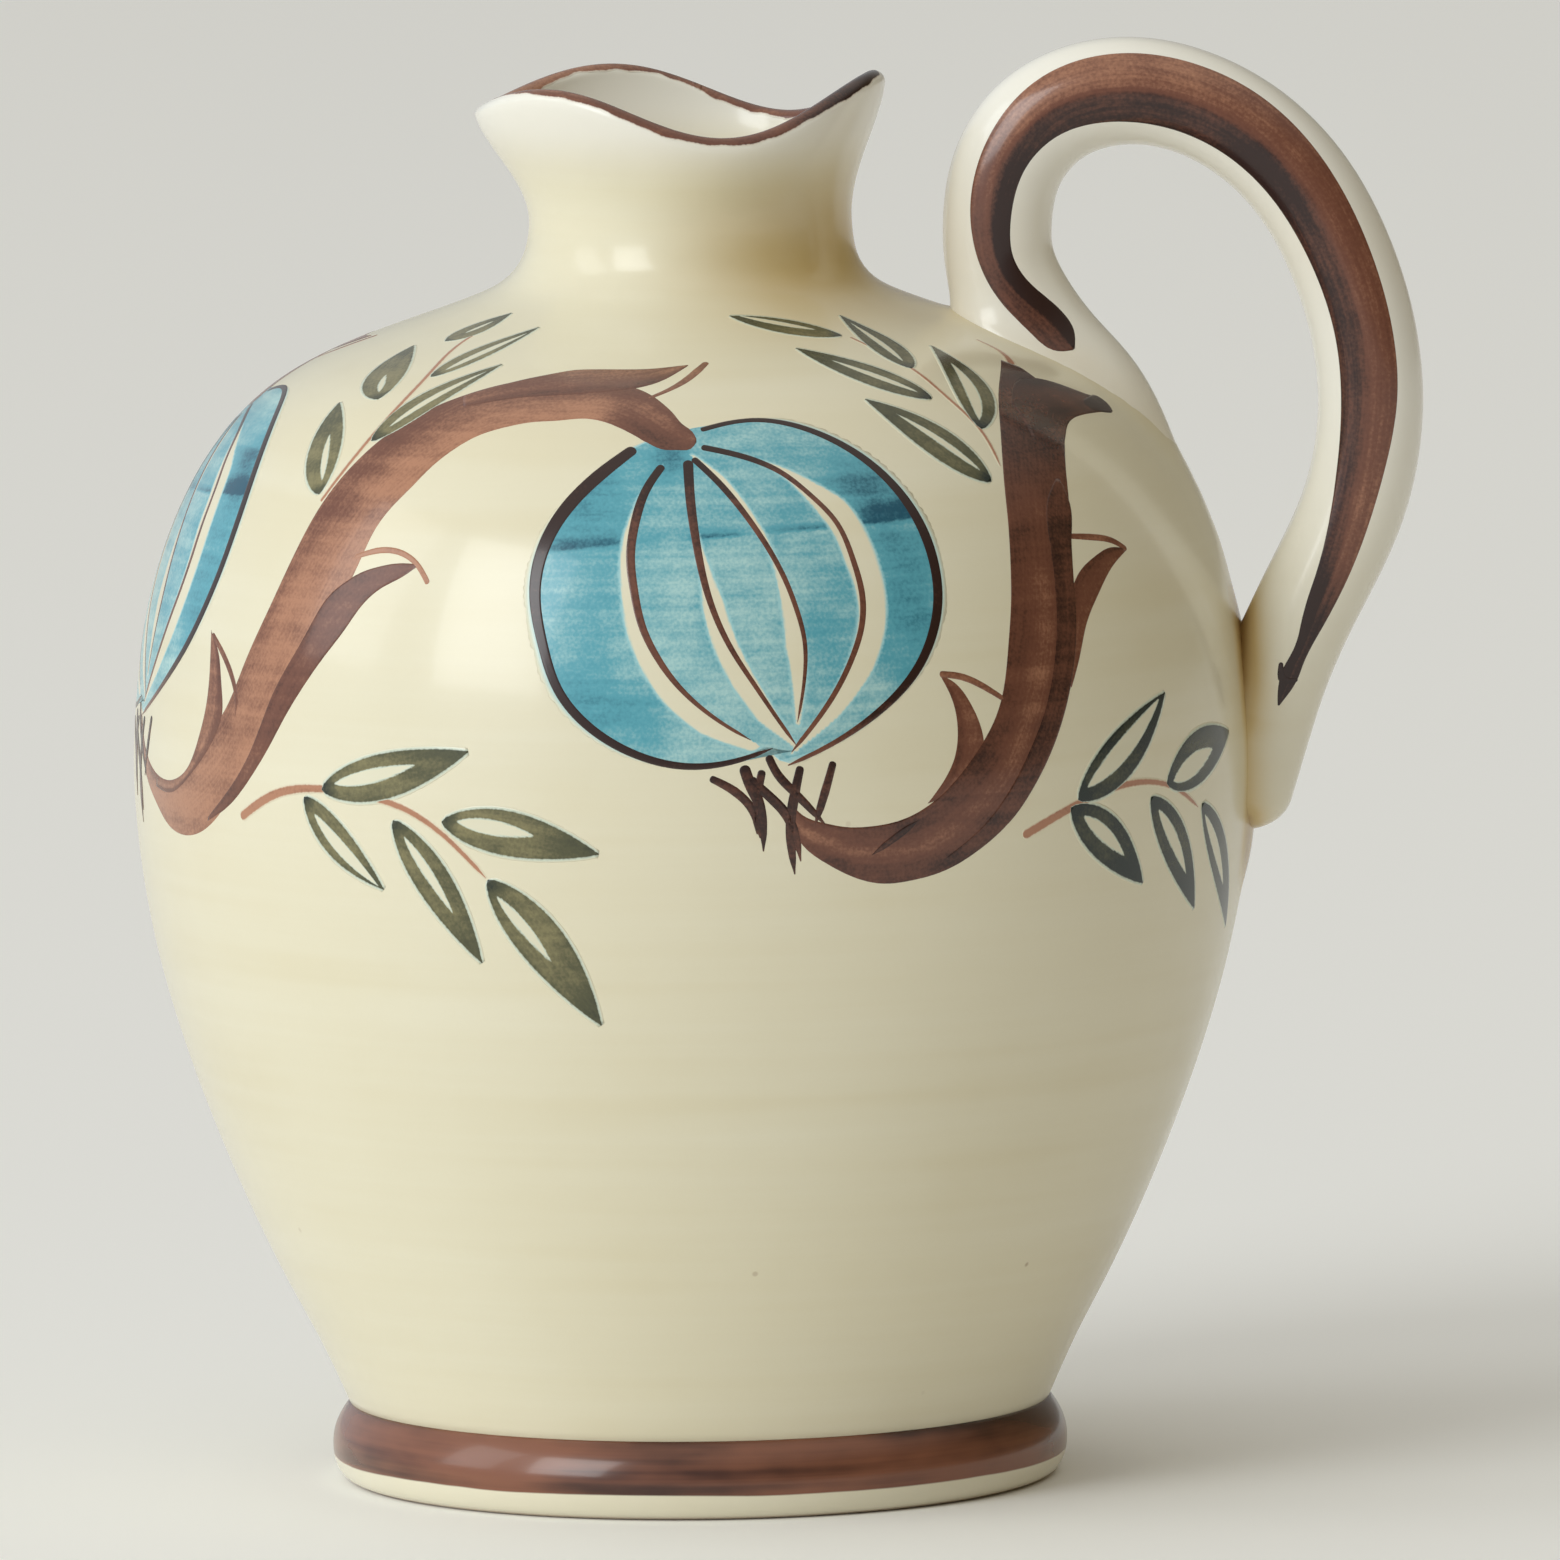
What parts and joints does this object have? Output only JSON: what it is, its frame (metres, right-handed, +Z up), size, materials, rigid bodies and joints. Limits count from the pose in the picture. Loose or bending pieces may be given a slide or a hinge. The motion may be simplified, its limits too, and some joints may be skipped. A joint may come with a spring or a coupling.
{
  "type": "pitcher",
  "caption": "Large hand-thrown ceramic pitcher with a swelling belly, pinched wavy lip, looped coil handle and turned foot ring, glazed cream with painted fruit and branches.",
  "frame": {"origin": "middle of the whole pitcher's bounding box in X and Y, on the plane the foot ring stands on", "axes": "+Z up; +X towards the handle, -X towards the pouring lip; +Y across the handle's plane"},
  "size_m": [0.2632, 0.2276, 0.2941],
  "materials": {
    "cream_glaze": "satin",
    "handle_glaze": "satin",
    "foot_glaze": "satin",
    "brown_stain": "satin",
    "blue_stain": "satin",
    "green_stain": "satin"
  },
  "bodies": {
    "root": {"vessel_body": "cream_glaze", "neck_spout": "cream_glaze", "foot_ring": "foot_glaze", "handle_loop": "handle_glaze", "handle_root": "handle_glaze", "handle_tail": "handle_glaze"}
  },
  "joints": []
}
